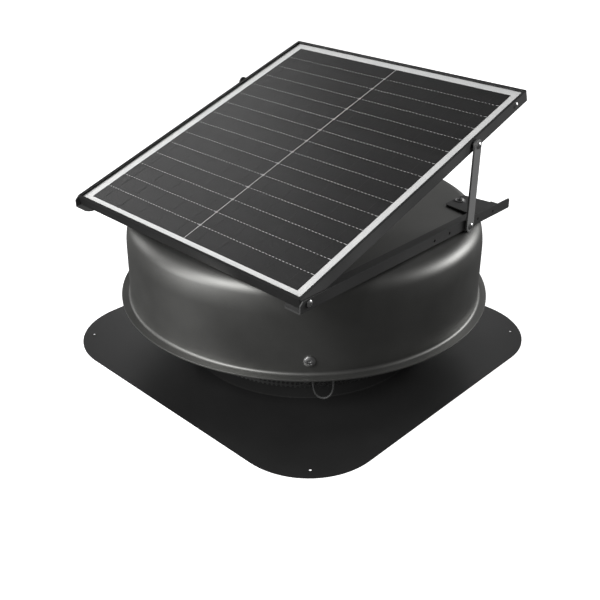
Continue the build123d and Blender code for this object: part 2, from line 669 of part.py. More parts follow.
# ---- solar panel --------------------------------------------------------------------------------
laminate_top = LIP_T
laminate_low = LIP_T + GLASS_T + CELL_T + BACK_T
shelf_low = laminate_low + 1.2
flange_top = FRAME_H - 1.2


def frame_leg(plane, length):
    """Mitred extrusion: outer wall, top lip, shelf under the laminate and bottom flange."""
    for top, low, width in (
        (0.0, LIP_T, FRAME_LIP),
        (0.0, FRAME_H, FRAME_WALL),
        (laminate_low, shelf_low, FRAME_SHELF),
        (flange_top, FRAME_H, FRAME_FLANGE),
    ):
        half = length / 2
        with BuildSketch(plane.offset(-top)) as outline:
            with BuildLine():
                Polyline(
                    (-half, 0), (half, 0), (half - width, width), (width - half, width), close=True
                )
            make_face()
        extrude(outline.sketch, amount=top - low)
    middle = on_panel(0, PANEL_L / 2, 0)
    corners = Plane(origin=middle, x_dir=panel_plane.x_dir, z_dir=panel_plane.z_dir)
    with BuildSketch(corners) as rounded:
        RectangleRounded(PANEL_W, PANEL_L, FRAME_CORNER_R)
    extrude(rounded.sketch, amount=-FRAME_H, mode=Mode.INTERSECT)


def edge_plane(x, s, inward):
    """Plane at the middle of a frame edge, local y pointing inwards across the panel."""
    normal = panel_plane.z_dir
    inward_world = panel_plane.x_dir * inward[0] + panel_plane.y_dir * inward[1]
    return Plane(origin=on_panel(x, s, 0), x_dir=inward_world.cross(normal), z_dir=normal)


with BuildPart() as frame_front:
    frame_leg(edge_plane(0, 0, (0, 1)), PANEL_W)
write(frame_front, "frame_front")

with BuildPart() as frame_rear:
    frame_leg(edge_plane(0, PANEL_L, (0, -1)), PANEL_W)
write(frame_rear, "frame_rear")

for side, name in ((-1, "left"), (1, "right")):
    with BuildPart() as frame_side:
        frame_leg(edge_plane(side * PANEL_W / 2, PANEL_L / 2, (-side, 0)), PANEL_L)
        wall_x = PANEL_W / 2
        bore(side_plane(wall_x, HINGE_Y, HINGE_Z, side), BOLT_R + SNUG, 3)
        bore(side_plane(wall_x, strut_top.Y, strut_top.Z, side), STUD_R + SNUG, 3)
        bore(side_plane(wall_x, spare_bolt.Y, spare_bolt.Z, side), STUD_R + SNUG, 3)
    write(frame_side, f"frame_{name}")

KEY_LEG, KEY_T, KEY_NOTCH_R = 22.0, 1.5, 4.6
with BuildPart() as corner_keys:
    for sx in (-1, 1):
        for s, sy in ((FRAME_WALL, 1), (PANEL_L - FRAME_WALL, -1)):
            corner_x = sx * (PANEL_W / 2 - FRAME_WALL)
            far_x = corner_x - sx * KEY_LEG
            far_s = s + sy * KEY_LEG
            near_x = corner_x - sx * KEY_T
            near_s = s + sy * KEY_T
            with BuildSketch(panel_plane.offset(-shelf_low)):
                with BuildLine():
                    Polyline(
                        (corner_x, s), (far_x, s), (far_x, near_s), (near_x, near_s),
                        (near_x, far_s), (corner_x, far_s), close=True,
                    )
                make_face()
            extrude(amount=shelf_low - flange_top)
    # the side leg of each front key is notched round the hinge's nut
    for side in (-1, 1):
        bore(side_plane(PANEL_W / 2 - FRAME_WALL, HINGE_Y, HINGE_Z, side), KEY_NOTCH_R, 3)
write(corner_keys, "corner_keys")

glass_gap = FRAME_WALL + 0.3
with BuildPart() as panel_glass:
    with BuildSketch(panel_plane.offset(-laminate_top)):
        with Locations((0, PANEL_L / 2)):
            Rectangle(PANEL_W - 2 * glass_gap, PANEL_L - 2 * glass_gap)
    extrude(amount=-GLASS_T)
write(panel_glass, "panel_glass")

row_pitch = (CELL_AREA_S1 - CELL_AREA_S0 + ROW_GAP) / CELL_ROWS
col_pitch = (CELL_AREA_X + COL_GAP) / CELL_COLS
cells_middle = (CELL_AREA_S0 + CELL_AREA_S1) / 2
with BuildPart() as solar_cells:
    with BuildSketch(panel_plane.offset(-(laminate_top + GLASS_T))):
        with Locations((0, cells_middle)):
            with GridLocations(col_pitch, row_pitch, CELL_COLS, CELL_ROWS):
                Rectangle(col_pitch - COL_GAP, row_pitch - ROW_GAP)
    extrude(amount=-CELL_T)
write(solar_cells, "solar_cells")

with BuildPart() as panel_backsheet:
    with BuildSketch(panel_plane.offset(-(laminate_top + GLASS_T + CELL_T))):
        with Locations((0, PANEL_L / 2)):
            Rectangle(PANEL_W - 2 * glass_gap, PANEL_L - 2 * glass_gap)
    extrude(amount=-BACK_T)
write(panel_backsheet, "panel_backsheet")

JUNCTION_S = 420.0
JUNCTION_X, JUNCTION_Y, JUNCTION_H = 88.0, 62.0, 13.0
with BuildPart() as junction_box:
    with BuildSketch(panel_plane.offset(-laminate_low)):
        with Locations((0, JUNCTION_S)):
            RectangleRounded(JUNCTION_X, JUNCTION_Y, 6)
            RectangleRounded(JUNCTION_X - 4, JUNCTION_Y - 4, 4, mode=Mode.SUBTRACT)
    extrude(amount=-JUNCTION_H)
    with BuildSketch(panel_plane.offset(-laminate_low)):
        with Locations((0, JUNCTION_S)):
            RectangleRounded(JUNCTION_X, JUNCTION_Y, 6)
    extrude(amount=-1.5)
write(junction_box, "junction_box")

with BuildPart() as junction_lid:
    with BuildSketch(panel_plane.offset(-(laminate_low + JUNCTION_H))):
        with Locations((0, JUNCTION_S)):
            RectangleRounded(JUNCTION_X, JUNCTION_Y, 6)
    extrude(amount=-2.0)
    lid_low = junction_lid.faces().sort_by(Axis(panel_plane.origin, panel_plane.z_dir))[0]
    chamfer(lid_low.edges(), 0.8)
write(junction_lid, "junction_lid")

with BuildPart() as junction_gland:
    start = on_panel(0, JUNCTION_S - JUNCTION_Y / 2, laminate_low + 7.5)
    gland_axis = panel_plane.y_dir * -1
    gland_plane = Plane(origin=start, x_dir=(1, 0, 0), z_dir=gland_axis)
    rod(gland_plane, 5.0, 10.0)
    hex_nut(gland_plane.offset(4.0), 12.0, 8.0, 4.0)
    rod(gland_plane.offset(4.0), 2.2, 10.0, Mode.SUBTRACT)
write(junction_gland, "junction_gland")

with BuildPart() as hinge_bolts:
    for side in (-1, 1):
        head = RAIL_OUT + 0.3
        inner = PANEL_W / 2 - FRAME_WALL - 5.0
        dome_head(side_plane(head, HINGE_Y, HINGE_Z, side), 4.8, 3.0)
        rod(side_plane(inner, HINGE_Y, HINGE_Z, side), BOLT_R, head - inner + 0.1)
write(hinge_bolts, "hinge_bolts")

with BuildPart() as hinge_nuts:
    for side in (-1, 1):
        hex_nut(
            side_plane(PANEL_W / 2 - FRAME_WALL - 3.6, HINGE_Y, HINGE_Z, side), 6.2, 3.6, BOLT_R
        )
write(hinge_nuts, "hinge_nuts")

wall_inner = PANEL_W / 2 - FRAME_WALL
with BuildPart() as strut_spacers:
    for side in (-1, 1):
        rod(side_plane(PANEL_W / 2, strut_top.Y, strut_top.Z, side), 4.5, STRUT_X - PANEL_W / 2 - 0.35)
        rod(side_plane(wall_inner, strut_top.Y, strut_top.Z, side), STUD_R, FRAME_WALL + 0.1)
write(strut_spacers, "strut_spacers")

with BuildPart() as spare_bolts:
    for side in (-1, 1):
        dome_head(side_plane(PANEL_W / 2, spare_bolt.Y, spare_bolt.Z, side), 4.4, 2.8)
        rod(side_plane(wall_inner, spare_bolt.Y, spare_bolt.Z, side), STUD_R, FRAME_WALL + 0.1)
write(spare_bolts, "spare_bolts")

# ---- controller on the plate and its lead ---------------------------------------------------
controller_low = STRAP_TOP + PLATE_T
a0 = radians(BRACKET_AZIMUTH)
controller_plane = Plane(
    origin=by_bracket(CONTROLLER_R, CONTROLLER_U, controller_low),
    x_dir=(cos(a0), sin(a0), 0),
    z_dir=(0, 0, 1),
)
GLAND_U, GLAND_Z = 34.6, 156.0
gland_face = CONTROLLER_R + CONTROLLER_L / 2
gland_plane = Plane(
    origin=by_bracket(gland_face, GLAND_U, GLAND_Z),
    x_dir=(0, 0, 1),
    z_dir=(cos(a0), sin(a0), 0),
)
GLAND_L = 14.0

with BuildPart() as controller_box:
    with BuildSketch(controller_plane):
        RectangleRounded(CONTROLLER_L, CONTROLLER_W, 5)
    extrude(amount=CONTROLLER_H)
    with BuildSketch(controller_plane.offset(2.5)):
        RectangleRounded(CONTROLLER_L - 5, CONTROLLER_W - 5, 3)
    extrude(amount=CONTROLLER_H, mode=Mode.SUBTRACT)
    bore(gland_plane, 4.0, 4)
write(controller_box, "controller_box")

with BuildPart() as controller_lid:
    with BuildSketch(controller_plane.offset(CONTROLLER_H)):
        RectangleRounded(CONTROLLER_L, CONTROLLER_W, 5)
    extrude(amount=3.0)
    chamfer(controller_lid.faces().sort_by(Axis.Z)[-1].edges(), 1.0)
write(controller_lid, "controller_lid")

with BuildPart() as lead_gland:
    rod(gland_plane.offset(-2.4), 3.95, 2.5)
    with BuildSketch(gland_plane):
        RegularPolygon(6.5, 6, major_radius=False)
    extrude(amount=5.0)
    with BuildSketch(gland_plane.offset(5.0)):
        Circle(5.6)
    extrude(amount=GLAND_L - 5.0, taper=14)
write(lead_gland, "lead_gland")

LEAD_POINTS = [
    by_bracket(gland_face + GLAND_L, GLAND_U, GLAND_Z),
    by_bracket(214.0, GLAND_U, GLAND_Z),
    by_bracket(232.0, 35.2, 147.0),
    by_bracket(239.0, 35.0, 126.0),
    by_bracket(240.2, 35.8, 103.0),
    by_bracket(240.0, 35.0, 82.0),
    by_bracket(240.4, 35.2, 63.0),
    by_bracket(240.0, 34.3, 47.5),
    by_bracket(240.3, 26.5, 38.2),
    by_bracket(240.0, 14.8, 39.2),
    by_bracket(239.8, 7.8, 49.5),
    by_bracket(240.2, 6.2, 66.0),
    by_bracket(240.0, 5.5, 83.0),
    by_bracket(240.0, 5.5, 98.0),
]


def corner_radii(points):
    """Radius of each corner of a route: as large as its two runs allow."""
    radii = []
    for before, here, after in zip(points, points[1:], points[2:]):
        run_in, run_out = here - before, after - here
        turn = radians(run_in.get_angle(run_out))
        radii.append(0.45 * min(run_in.length, run_out.length) / tan(turn / 2))
    return radii


lead_radii = corner_radii(LEAD_POINTS)
with BuildPart() as power_lead:
    with BuildLine() as lead_path:
        FilletPolyline(*LEAD_POINTS, radius=lead_radii)
    first = LEAD_POINTS[1] - LEAD_POINTS[0]
    with BuildSketch(Plane(origin=LEAD_POINTS[0], z_dir=first)):
        Circle(LEAD_D / 2)
    sweep()
write(power_lead, "power_lead")
lead_length = sum(e.length for e in lead_path.edges())
print("lead radii", [round(r, 1) for r in lead_radii])
print("lead length", round(lead_length, 1), "volume", round(power_lead.part.volume, 1),
      "expected", round(lead_length * pi * (LEAD_D / 2) ** 2, 1))

SOCKET_R, SOCKET_L = 5.5, 30.0
socket_low = LEAD_POINTS[-1]
with BuildPart() as lead_socket:
    socket_plane = up_plane(socket_low.X, socket_low.Y, socket_low.Z)
    with BuildSketch(socket_plane):
        Circle(2.4)
    extrude(amount=8.0, taper=-14)
    rod(socket_plane.offset(8.0), SOCKET_R, SOCKET_L - 8.0)
    rod(socket_plane.offset(SOCKET_L), 2.8, -12.0, Mode.SUBTRACT)
    rod(socket_plane.offset(SOCKET_L - 12.0), 1.0, 10.0)
write(lead_socket, "lead_socket")

CLIP_T = 1.5
clip_low = socket_low.Z + 13.0
strap_under = STRAP_TOP - STRAP_T
with BuildPart() as lead_clip:
    clip_plane = Plane(
        origin=(socket_low.X, socket_low.Y, clip_low), x_dir=(cos(a0), sin(a0), 0), z_dir=(0, 0, 1)
    )
    ring(clip_plane, SOCKET_R + CLIP_T, SOCKET_R, 8.0)
    with BuildSketch(clip_plane):
        with Locations((SOCKET_R + CLIP_T / 2, 0)):
            Rectangle(CLIP_T, 8.0)
    extrude(amount=strap_under - clip_low)
    with BuildSketch(clip_plane.offset(strap_under - clip_low - CLIP_T)):
        with Locations((SOCKET_R + 6.0, 0)):
            Rectangle(12.0, 8.0)
    extrude(amount=CLIP_T)
write(lead_clip, "lead_clip")
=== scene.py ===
import json
import math

import bmesh
import bpy
from mathutils import Matrix, Vector


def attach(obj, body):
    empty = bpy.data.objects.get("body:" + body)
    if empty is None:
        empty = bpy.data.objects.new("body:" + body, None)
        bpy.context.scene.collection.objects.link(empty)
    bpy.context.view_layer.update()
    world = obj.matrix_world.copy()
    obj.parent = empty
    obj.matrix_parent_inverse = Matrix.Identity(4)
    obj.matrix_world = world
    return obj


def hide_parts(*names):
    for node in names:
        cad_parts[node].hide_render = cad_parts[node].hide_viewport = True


# Looks for the solar attic fan: finishes for every CAD node, and detailed pieces in place of
# the plain lead, hood, mesh guard, screws and solar cells. Metres, in the frame of the packed
# model, except where a number is said to be in mm.

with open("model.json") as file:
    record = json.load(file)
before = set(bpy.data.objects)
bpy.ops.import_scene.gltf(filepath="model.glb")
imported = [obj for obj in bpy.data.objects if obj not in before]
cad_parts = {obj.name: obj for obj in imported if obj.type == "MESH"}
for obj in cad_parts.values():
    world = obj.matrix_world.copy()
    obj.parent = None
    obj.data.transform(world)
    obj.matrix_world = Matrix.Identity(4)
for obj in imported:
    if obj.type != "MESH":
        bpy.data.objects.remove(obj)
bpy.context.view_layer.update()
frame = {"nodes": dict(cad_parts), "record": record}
nodes = frame["nodes"]
scene = bpy.context.scene
MM = 0.001

# ---- camera -------------------------------------------------------------------------------------
CAMERA_TARGET = Vector((0.0, 0.0214, 0.1645))
CAMERA_DISTANCE = 1.4048
CAMERA_AZIMUTH, CAMERA_ELEVATION, CAMERA_ROLL = 42.76, 24.95, 0.76
CAMERA_LENS = 52.42
CAMERA_SHIFT = (-0.0233, -0.1)


def add_camera():
    """Camera in front and to the right of the fan, looking down on it."""
    az, el = math.radians(CAMERA_AZIMUTH), math.radians(CAMERA_ELEVATION)
    back = Vector((math.sin(az) * math.cos(el), -math.cos(az) * math.cos(el), math.sin(el)))
    right = Vector((math.cos(az), math.sin(az), 0.0))
    up = back.cross(right)
    roll = math.radians(CAMERA_ROLL)
    tilted_right = right * math.cos(roll) + up * math.sin(roll)
    tilted_up = up * math.cos(roll) - right * math.sin(roll)
    turn = Matrix((tilted_right, tilted_up, back)).transposed()
    camera = bpy.data.objects.new("camera", bpy.data.cameras.new("camera"))
    camera.matrix_world = Matrix.Translation(CAMERA_TARGET + back * CAMERA_DISTANCE) @ turn.to_4x4()
    camera.data.lens = CAMERA_LENS
    camera.data.shift_x, camera.data.shift_y = CAMERA_SHIFT
    scene.collection.objects.link(camera)
    scene.camera = camera


add_camera()

# ---- lead under the hood ------------------------------------------------------------------------
LEAD_D = 0.003
LEAD_ROUNDNESS, LEAD_STEPS = 5, 10      # smoothness round the lead and between route points
BRACKET_AZIMUTH = math.radians(-45.0)
LEAD_ROUTE = [      # r outwards, u to the right and z up, in mm, by the front right bracket
    (192.0, 34.6, 156.0), (214.0, 34.6, 156.0), (232.0, 35.2, 147.0), (239.0, 35.0, 126.0),
    (240.2, 35.8, 103.0), (240.0, 35.0, 82.0), (240.4, 35.2, 63.0), (240.0, 34.3, 47.5),
    (240.3, 26.5, 38.2), (240.0, 14.8, 39.2), (239.8, 7.8, 49.5), (240.2, 6.2, 66.0),
    (240.0, 5.5, 83.0), (240.0, 5.5, 98.0),
]


def by_bracket(r, u, z):
    """World point by the front right bracket: r mm outwards, u mm to the right, z mm up."""
    c, s = math.cos(BRACKET_AZIMUTH), math.sin(BRACKET_AZIMUTH)
    return Vector((r * c - u * s, r * s + u * c, z)) * MM


def add_lead():
    """The controller's lead: one smooth curve down from its gland, round a loop, to its socket."""
    route = [by_bracket(*point) for point in LEAD_ROUTE]
    curve = bpy.data.curves.new("controller_lead", "CURVE")
    curve.dimensions = "3D"
    curve.bevel_depth = 1.0     # scaled by each point's radius
    curve.bevel_resolution = LEAD_ROUNDNESS
    curve.use_fill_caps = True
    curve.resolution_u = LEAD_STEPS
    spline = curve.splines.new("NURBS")
    spline.points.add(len(route) - 1)
    for point, place in zip(spline.points, route):
        point.co = (*place, 1.0)
        point.radius = LEAD_D / 2
    spline.order_u = 3
    spline.use_endpoint_u = True
    lead = bpy.data.objects.new("controller_lead", curve)
    scene.collection.objects.link(lead)
    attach(lead, "root")
    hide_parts("power_lead")
    return lead


lead = add_lead()

# ---- panel layout, used by the cells' finish and their pieces -----------------------------------
TILT = math.radians(18.65)
PANEL_FRONT = Vector((0.0, -0.2558, 0.254))     # middle of the panel's front top edge
CELL_AREA_X, CELL_AREA_S0, CELL_AREA_S1 = 0.432, 0.0146, 0.4944     # width, and from and to up the slope
CELL_ROWS, CELL_COLS = 15, 2
ROW_GAP, COL_GAP = 0.0009, 0.0012
ROW_PITCH = (CELL_AREA_S1 - CELL_AREA_S0 + ROW_GAP) / CELL_ROWS
COL_PITCH = (CELL_AREA_X + COL_GAP) / CELL_COLS
FINGER_PITCH = 0.0016
FINGER_SHARE = 0.07         # a silver finger's width over the pitch
GLASS_COAT = 0.6            # coat weight that stands for the glass over the cells and the sheet


def on_panel(x, s, d):
    """World point x across the panel, s up its slope and d below its top, in metres."""
    across = Vector((x, 0, 0))
    up_slope = Vector((0, math.cos(TILT), math.sin(TILT)))
    normal = Vector((0, -math.sin(TILT), math.cos(TILT)))
    return PANEL_FRONT + across + up_slope * s - normal * d


# ---- finishes -----------------------------------------------------------------------------------
class Finish:
    """A material's node tree, with short ways to add what the finishes share."""

    def __init__(self, name, roughness, metallic=0.0, specular=0.5):
        self.material = bpy.data.materials.new(name)
        self.material.use_nodes = True
        self.tree = self.material.node_tree
        self.shader = self.tree.nodes["Principled BSDF"]
        self.put("Roughness", roughness)
        self.put("Metallic", metallic)
        self.put("Specular IOR Level", specular)
        self.place = self.tree.nodes.new("ShaderNodeTexCoord").outputs["Object"]

    def put(self, socket, value):
        """Set a value that is the same all over, on the shader's own socket."""
        self.shader.inputs[socket].default_value = value

    def join(self, source, socket):
        """Link an output to one of the shader's sockets."""
        self.tree.links.new(source, self.shader.inputs[socket])

    def node(self, kind, inputs, **settings):
        """Add a node: a number, a colour or a linked output for each named or numbered input."""
        made = self.tree.nodes.new(kind)
        for key, value in settings.items():
            setattr(made, key, value)
        for key, value in inputs.items():
            if isinstance(value, bpy.types.NodeSocket):
                self.tree.links.new(value, made.inputs[key])
            else:
                made.inputs[key].default_value = value
        return made

    def maths(self, operation, first, second=0.0):
        """Result of a maths operation on numbers or outputs."""
        return self.node("ShaderNodeMath", {0: first, 1: second}, operation=operation).outputs[0]

    def stretched(self, scale, turn=(0.0, 0.0, 0.0)):
        """Object coordinates, scaled and turned."""
        inputs = {"Vector": self.place, "Scale": scale, "Rotation": turn}
        return self.node("ShaderNodeMapping", inputs).outputs[0]

    def noise(self, scale, detail=3.0, where=None):
        """Noise from 0 to 1, over object coordinates or those given."""
        inputs = {"Vector": where or self.place, "Scale": scale, "Detail": detail}
        return self.node("ShaderNodeTexNoise", inputs).outputs["Fac"]

    def span(self, value, low, high, start=0.3, end=0.7):
        """Map a value between start and end to one between low and high."""
        inputs = {"Value": value, "From Min": start, "From Max": end, "To Min": low, "To Max": high}
        return self.node("ShaderNodeMapRange", inputs).outputs["Result"]

    def mixed(self, factor, first, second):
        """Colour between two colours, through the mix node's colour inputs 6 and 7 and output 2."""
        return self.node("ShaderNodeMix", {0: factor, 6: first, 7: second}, data_type="RGBA").outputs[2]

    def tint(self, noise, dark, light):
        """Colour the piece between two colours, as a noise says."""
        self.join(self.mixed(self.span(noise, 0.0, 1.0), dark, light), "Base Color")

    def bump(self, height, depth, strength):
        """Relief from a height of 0 to 1, depth in metres."""
        made = self.node("ShaderNodeBump", {"Height": height, "Distance": depth, "Strength": strength})
        self.join(made.outputs["Normal"], "Normal")


def shade(colour, factor=1.0):
    """RGBA of a grey level or a colour, times a factor."""
    rgb = (colour,) * 3 if isinstance(colour, (int, float)) else colour
    return (*(min(1.0, c * factor) for c in rgb), 1.0)


def powder_coat(name, colour, roughness, metallic=0.0, specular=0.5):
    """Satin powder coat: fine orange peel, uneven gloss and a trace of pale dust."""
    finish = Finish(name, roughness, metallic, specular)
    cloud = finish.noise(9.0, 4.0)
    speck = finish.noise(1400.0, 2.0)
    body = finish.mixed(finish.span(cloud, 0.0, 1.0), shade(colour, 0.88), shade(colour, 1.12))
    dusted = finish.mixed(finish.span(speck, 0.0, 0.10, 0.55, 0.8), body, shade(colour, 3.0))
    finish.join(dusted, "Base Color")
    finish.join(finish.span(cloud, roughness - 0.03, roughness + 0.03), "Roughness")
    finish.bump(finish.noise(750.0, 2.0), 0.00002, 0.35)
    return finish.material


def machined(name, colour, roughness, lay):
    """Bare metal with dull patches and faint drawing lines, their scale in x, y and z given by lay."""
    finish = Finish(name, roughness, metallic=1.0)
    lines = finish.noise(6.0, 3.0, finish.stretched(lay))
    patches = finish.noise(60.0, 4.0)
    finish.tint(patches, shade(colour, 0.86), shade(colour, 1.1))
    finish.join(finish.span(lines, roughness - 0.07, roughness + 0.09), "Roughness")
    finish.bump(lines, 0.00002, 0.25)
    return finish.material


def moulded(name, colour, roughness, grain=900.0):
    """Moulded plastic or rubber with a fine spark-eroded texture."""
    finish = Finish(name, roughness)
    cloud = finish.noise(25.0, 3.0)
    finish.tint(cloud, shade(colour, 0.85), shade(colour, 1.2))
    finish.join(finish.span(cloud, roughness - 0.05, roughness + 0.05), "Roughness")
    finish.bump(finish.noise(grain, 3.0), 0.00004, 0.5)
    return finish.material


def anodised(name, colour, roughness):
    """Black anodised extrusion: long die lines and a faint bloom."""
    finish = Finish(name, roughness, metallic=0.2)
    lines = finish.noise(3.0, 4.0, finish.stretched((600.0, 12.0, 12.0)))
    cloud = finish.noise(14.0, 3.0)
    finish.tint(cloud, shade(colour, 0.85), shade(colour, 1.2))
    finish.join(finish.span(lines, roughness - 0.05, roughness + 0.06), "Roughness")
    finish.bump(lines, 0.00001, 0.3)
    return finish.material


def silicon(name):
    """Silicon wafers under glass: fine silver fingers and a tone that differs from cell to cell."""
    finish = Finish(name, 0.5, specular=0.2)
    finish.put("Coat Weight", GLASS_COAT)
    finish.put("Coat Roughness", 0.36)
    flat = finish.stretched((1, 1, 1), (-TILT, 0, 0))
    x, s = (finish.node("ShaderNodeSeparateXYZ", {0: flat}).outputs[i] for i in (0, 1))
    column = finish.maths("FLOOR", finish.maths("DIVIDE", x, COL_PITCH))
    row = finish.maths("FLOOR", finish.maths("DIVIDE", s, ROW_PITCH))
    cell = finish.node("ShaderNodeCombineXYZ", {0: column, 1: row}).outputs[0]
    tone = finish.node("ShaderNodeTexWhiteNoise", {"Vector": cell}, noise_dimensions="2D")
    grain = finish.noise(40.0, 2.0)
    dark, light, cloudy = (shade(c) for c in (
        (0.0150, 0.0143, 0.0147), (0.0190, 0.0183, 0.0187), (0.0225, 0.0218, 0.0218),
    ))
    wafer = finish.mixed(tone.outputs["Value"], dark, light)
    clouded = finish.mixed(finish.span(grain, 0.0, 0.25), wafer, cloudy)
    stripe = finish.maths("FRACT", finish.maths("DIVIDE", s, FINGER_PITCH))
    finger = finish.maths("LESS_THAN", stripe, FINGER_SHARE)
    silvered = finish.mixed(finish.maths("MULTIPLY", finger, 0.5), clouded, shade(0.07))
    finish.join(silvered, "Base Color")
    return finish.material


def backsheet(name):
    """White backsheet seen through glass."""
    finish = Finish(name, 0.5)
    finish.put("Coat Weight", GLASS_COAT)
    finish.put("Coat Roughness", 0.2)
    cloud = finish.noise(40.0, 3.0)
    finish.tint(cloud, shade((0.60, 0.605, 0.605)), shade((0.66, 0.66, 0.652)))
    finish.bump(finish.noise(1200.0, 2.0), 0.00002, 0.3)
    return finish.material


def clear_glass(name):
    """Low-iron glass sheet, almost all see-through, its satin surface uneven in gloss."""
    finish = Finish(name, 0.3)
    finish.put("Base Color", shade((0.02, 0.022, 0.021)))
    finish.put("IOR", 1.5)
    finish.put("Alpha", 0.05)
    finish.join(finish.span(finish.noise(12.0, 3.0), 0.26, 0.36), "Roughness")
    finish.material.surface_render_method = "BLENDED"
    return finish.material


def tinned(name, dull, bright, metallic):
    """Tinned copper with an uneven dip."""
    finish = Finish(name, 0.4, metallic)
    grain = finish.noise(500.0, 2.0)
    finish.tint(grain, shade(dull), shade(bright))
    return finish.material


FINISHES = {
    "flashing_paint": powder_coat("flashing_paint", 0.024, 0.45, 0.0, 0.3),
    "hood_paint": powder_coat("hood_paint", (0.200, 0.200, 0.193), 0.47, 0.9),
    "rail_paint": powder_coat("rail_paint", 0.085, 0.58, 0.2),
    "bracket_paint": powder_coat("bracket_paint", 0.028, 0.5),
    "mesh_paint": powder_coat("mesh_paint", 0.085, 0.45),
    "frame_black": anodised("frame_black", 0.030, 0.36),
    "panel_glass": clear_glass("panel_glass"),
    "cell": silicon("cell"),
    "backsheet_white": backsheet("backsheet_white"),
    "black_plastic": moulded("black_plastic", 0.020, 0.5),
    "black_rubber": moulded("black_rubber", 0.016, 0.7, 400.0),
    "lead_jacket": moulded("lead_jacket", 0.055, 0.42, 500.0),
    "bright_fastener": machined("bright_fastener", 0.50, 0.36, (90.0, 90.0, 90.0)),
    "zinc_fastener": machined("zinc_fastener", 0.50, 0.34, (60.0, 60.0, 60.0)),
    "motor_case": machined("motor_case", 0.45, 0.40, (14.0, 14.0, 260.0)),
    "bearing_steel": machined("bearing_steel", 0.55, 0.22, (20.0, 20.0, 400.0)),
    "stator_iron": machined("stator_iron", 0.22, 0.5, (8.0, 8.0, 900.0)),
    "magnet": moulded("magnet", 0.08, 0.55, 300.0),
    "blade_metal": machined("blade_metal", 0.50, 0.36, (60.0, 60.0, 10.0)),
    "ribbon": tinned("ribbon", 0.040, 0.060, 0.3),
    "solder": tinned("solder", 0.36, 0.50, 0.2),
}


def dress(piece, slot):
    """Give a piece one of the finishes and nothing else."""
    piece.data.materials.clear()
    piece.data.materials.append(FINISHES[slot])


for subpart in frame["record"]["subparts"]:
    dress(nodes[subpart["node"]], subpart["material_slot"])
dress(lead, "lead_jacket")

# ---- mesh pieces --------------------------------------------------------------------------------
SHARP_ANGLE = math.radians(35)


def add_piece(name, bm, slot, body, *replaced, smooth=True):
    """Make a piece from a bmesh, finished as the slot says and riding on a body."""
    bmesh.ops.recalc_face_normals(bm, faces=bm.faces)
    mesh = bpy.data.meshes.new(name)
    bm.to_mesh(mesh)
    bm.free()
    piece = bpy.data.objects.new(name, mesh)
    scene.collection.objects.link(piece)
    dress(piece, slot)
    if smooth:
        mesh.shade_smooth()
        mesh.set_sharp_from_angle(angle=SHARP_ANGLE)
    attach(piece, body)
    if replaced:
        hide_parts(*replaced)


def add_rings(bm, rings):
    """Skin a stack of equal rings of points with quads, and close its ends."""
    made = [[bm.verts.new(point) for point in ring] for ring in rings]
    count = len(made[0])
    for lower, upper in zip(made, made[1:]):
        for i in range(count):
            j = (i + 1) % count
            bm.faces.new((lower[i], lower[j], upper[j], upper[i]))
    bm.faces.new(made[0])
    bm.faces.new(made[-1])


# ---- screws with cross recesses -----------------------------------------------------------------
SCREW_SIDES = 48
RECESS_SLANT = math.tan(math.radians(15.0))     # half width of a recess arm over its length
THREAD_PITCH = 0.0008
THREAD_DEPTH = 0.3          # of the pitch
HEAD_WALL = 0.35            # straight part of a head over its height
RECESS_SHARE = 0.5          # recess depth over the head's height, and arm length over its radius
CROWN_RINGS = (0.0, 0.12, 0.4, 0.65, 0.85, 0.95)    # from the recess's edge to the head's


def recess_radius(angle, arm):
    """Radius of a cross-shaped recess at an angle, with arms of length arm."""
    turn = angle % (math.pi / 2)
    from_arm = min(turn, math.pi / 2 - turn)
    if from_arm < 1e-6:
        return arm
    return min(arm / math.cos(from_arm), arm * RECESS_SLANT / math.sin(from_arm))


def add_screw(bm, face, axis, head_r, head_h, shank_r, shank_length):
    """Domed screw: its head stands on the face along the axis, its threaded shank runs back."""
    axis = Vector(axis).normalized()
    side = axis.orthogonal().normalized()
    other = axis.cross(side)
    face = Vector(face)
    angles = [2 * math.pi * i / SCREW_SIDES for i in range(SCREW_SIDES)]
    wall = head_h * HEAD_WALL
    rise = head_h - wall
    cap_r = (head_r**2 + rise**2) / (2 * rise)
    arm, depth = head_r * RECESS_SHARE, head_h * RECESS_SHARE

    def ring(radius_at, height_at):
        """Points round the axis: the radius comes from the angle, and the height from the radius."""
        points = []
        for angle in angles:
            r = radius_at(angle)
            spoke = side * math.cos(angle) + other * math.sin(angle)
            points.append(face + spoke * r + axis * height_at(r))
        return points

    def dome(r):
        """Height of the head's crown at a radius."""
        return head_h - cap_r + math.sqrt(cap_r**2 - r**2)

    rings = [       # from the recess's floor up to just under its edge
        ring(lambda a: recess_radius(a, arm) * 0.12, lambda r: head_h - depth),
        ring(lambda a: recess_radius(a, arm) * 0.70, lambda r: head_h - depth * 0.75),
        ring(lambda a: recess_radius(a, arm) * 0.95, lambda r: dome(r) - 0.03 * head_h),
    ]
    for share in CROWN_RINGS:
        rings.append(ring(lambda a, t=share: recess_radius(a, arm) * (1 - t) + head_r * t, dome))
    # Down the head's wall, in under the head and to the shank.
    for r, h in ((head_r, wall), (head_r, wall * 0.3), (head_r * 0.97, 0.0), (shank_r, 0.0)):
        rings.append(ring(lambda a, r=r: r, lambda _, h=h: h))
    turns = int(shank_length / THREAD_PITCH)
    for i in range(2 * turns):
        r = shank_r if i % 2 == 0 else shank_r - THREAD_DEPTH * THREAD_PITCH
        rings.append(ring(lambda a, r=r: r, lambda _, h=-(i + 1) * THREAD_PITCH / 2: h))
    rings.append(ring(lambda a: shank_r * 0.75, lambda _: -shank_length))
    add_rings(bm, rings)


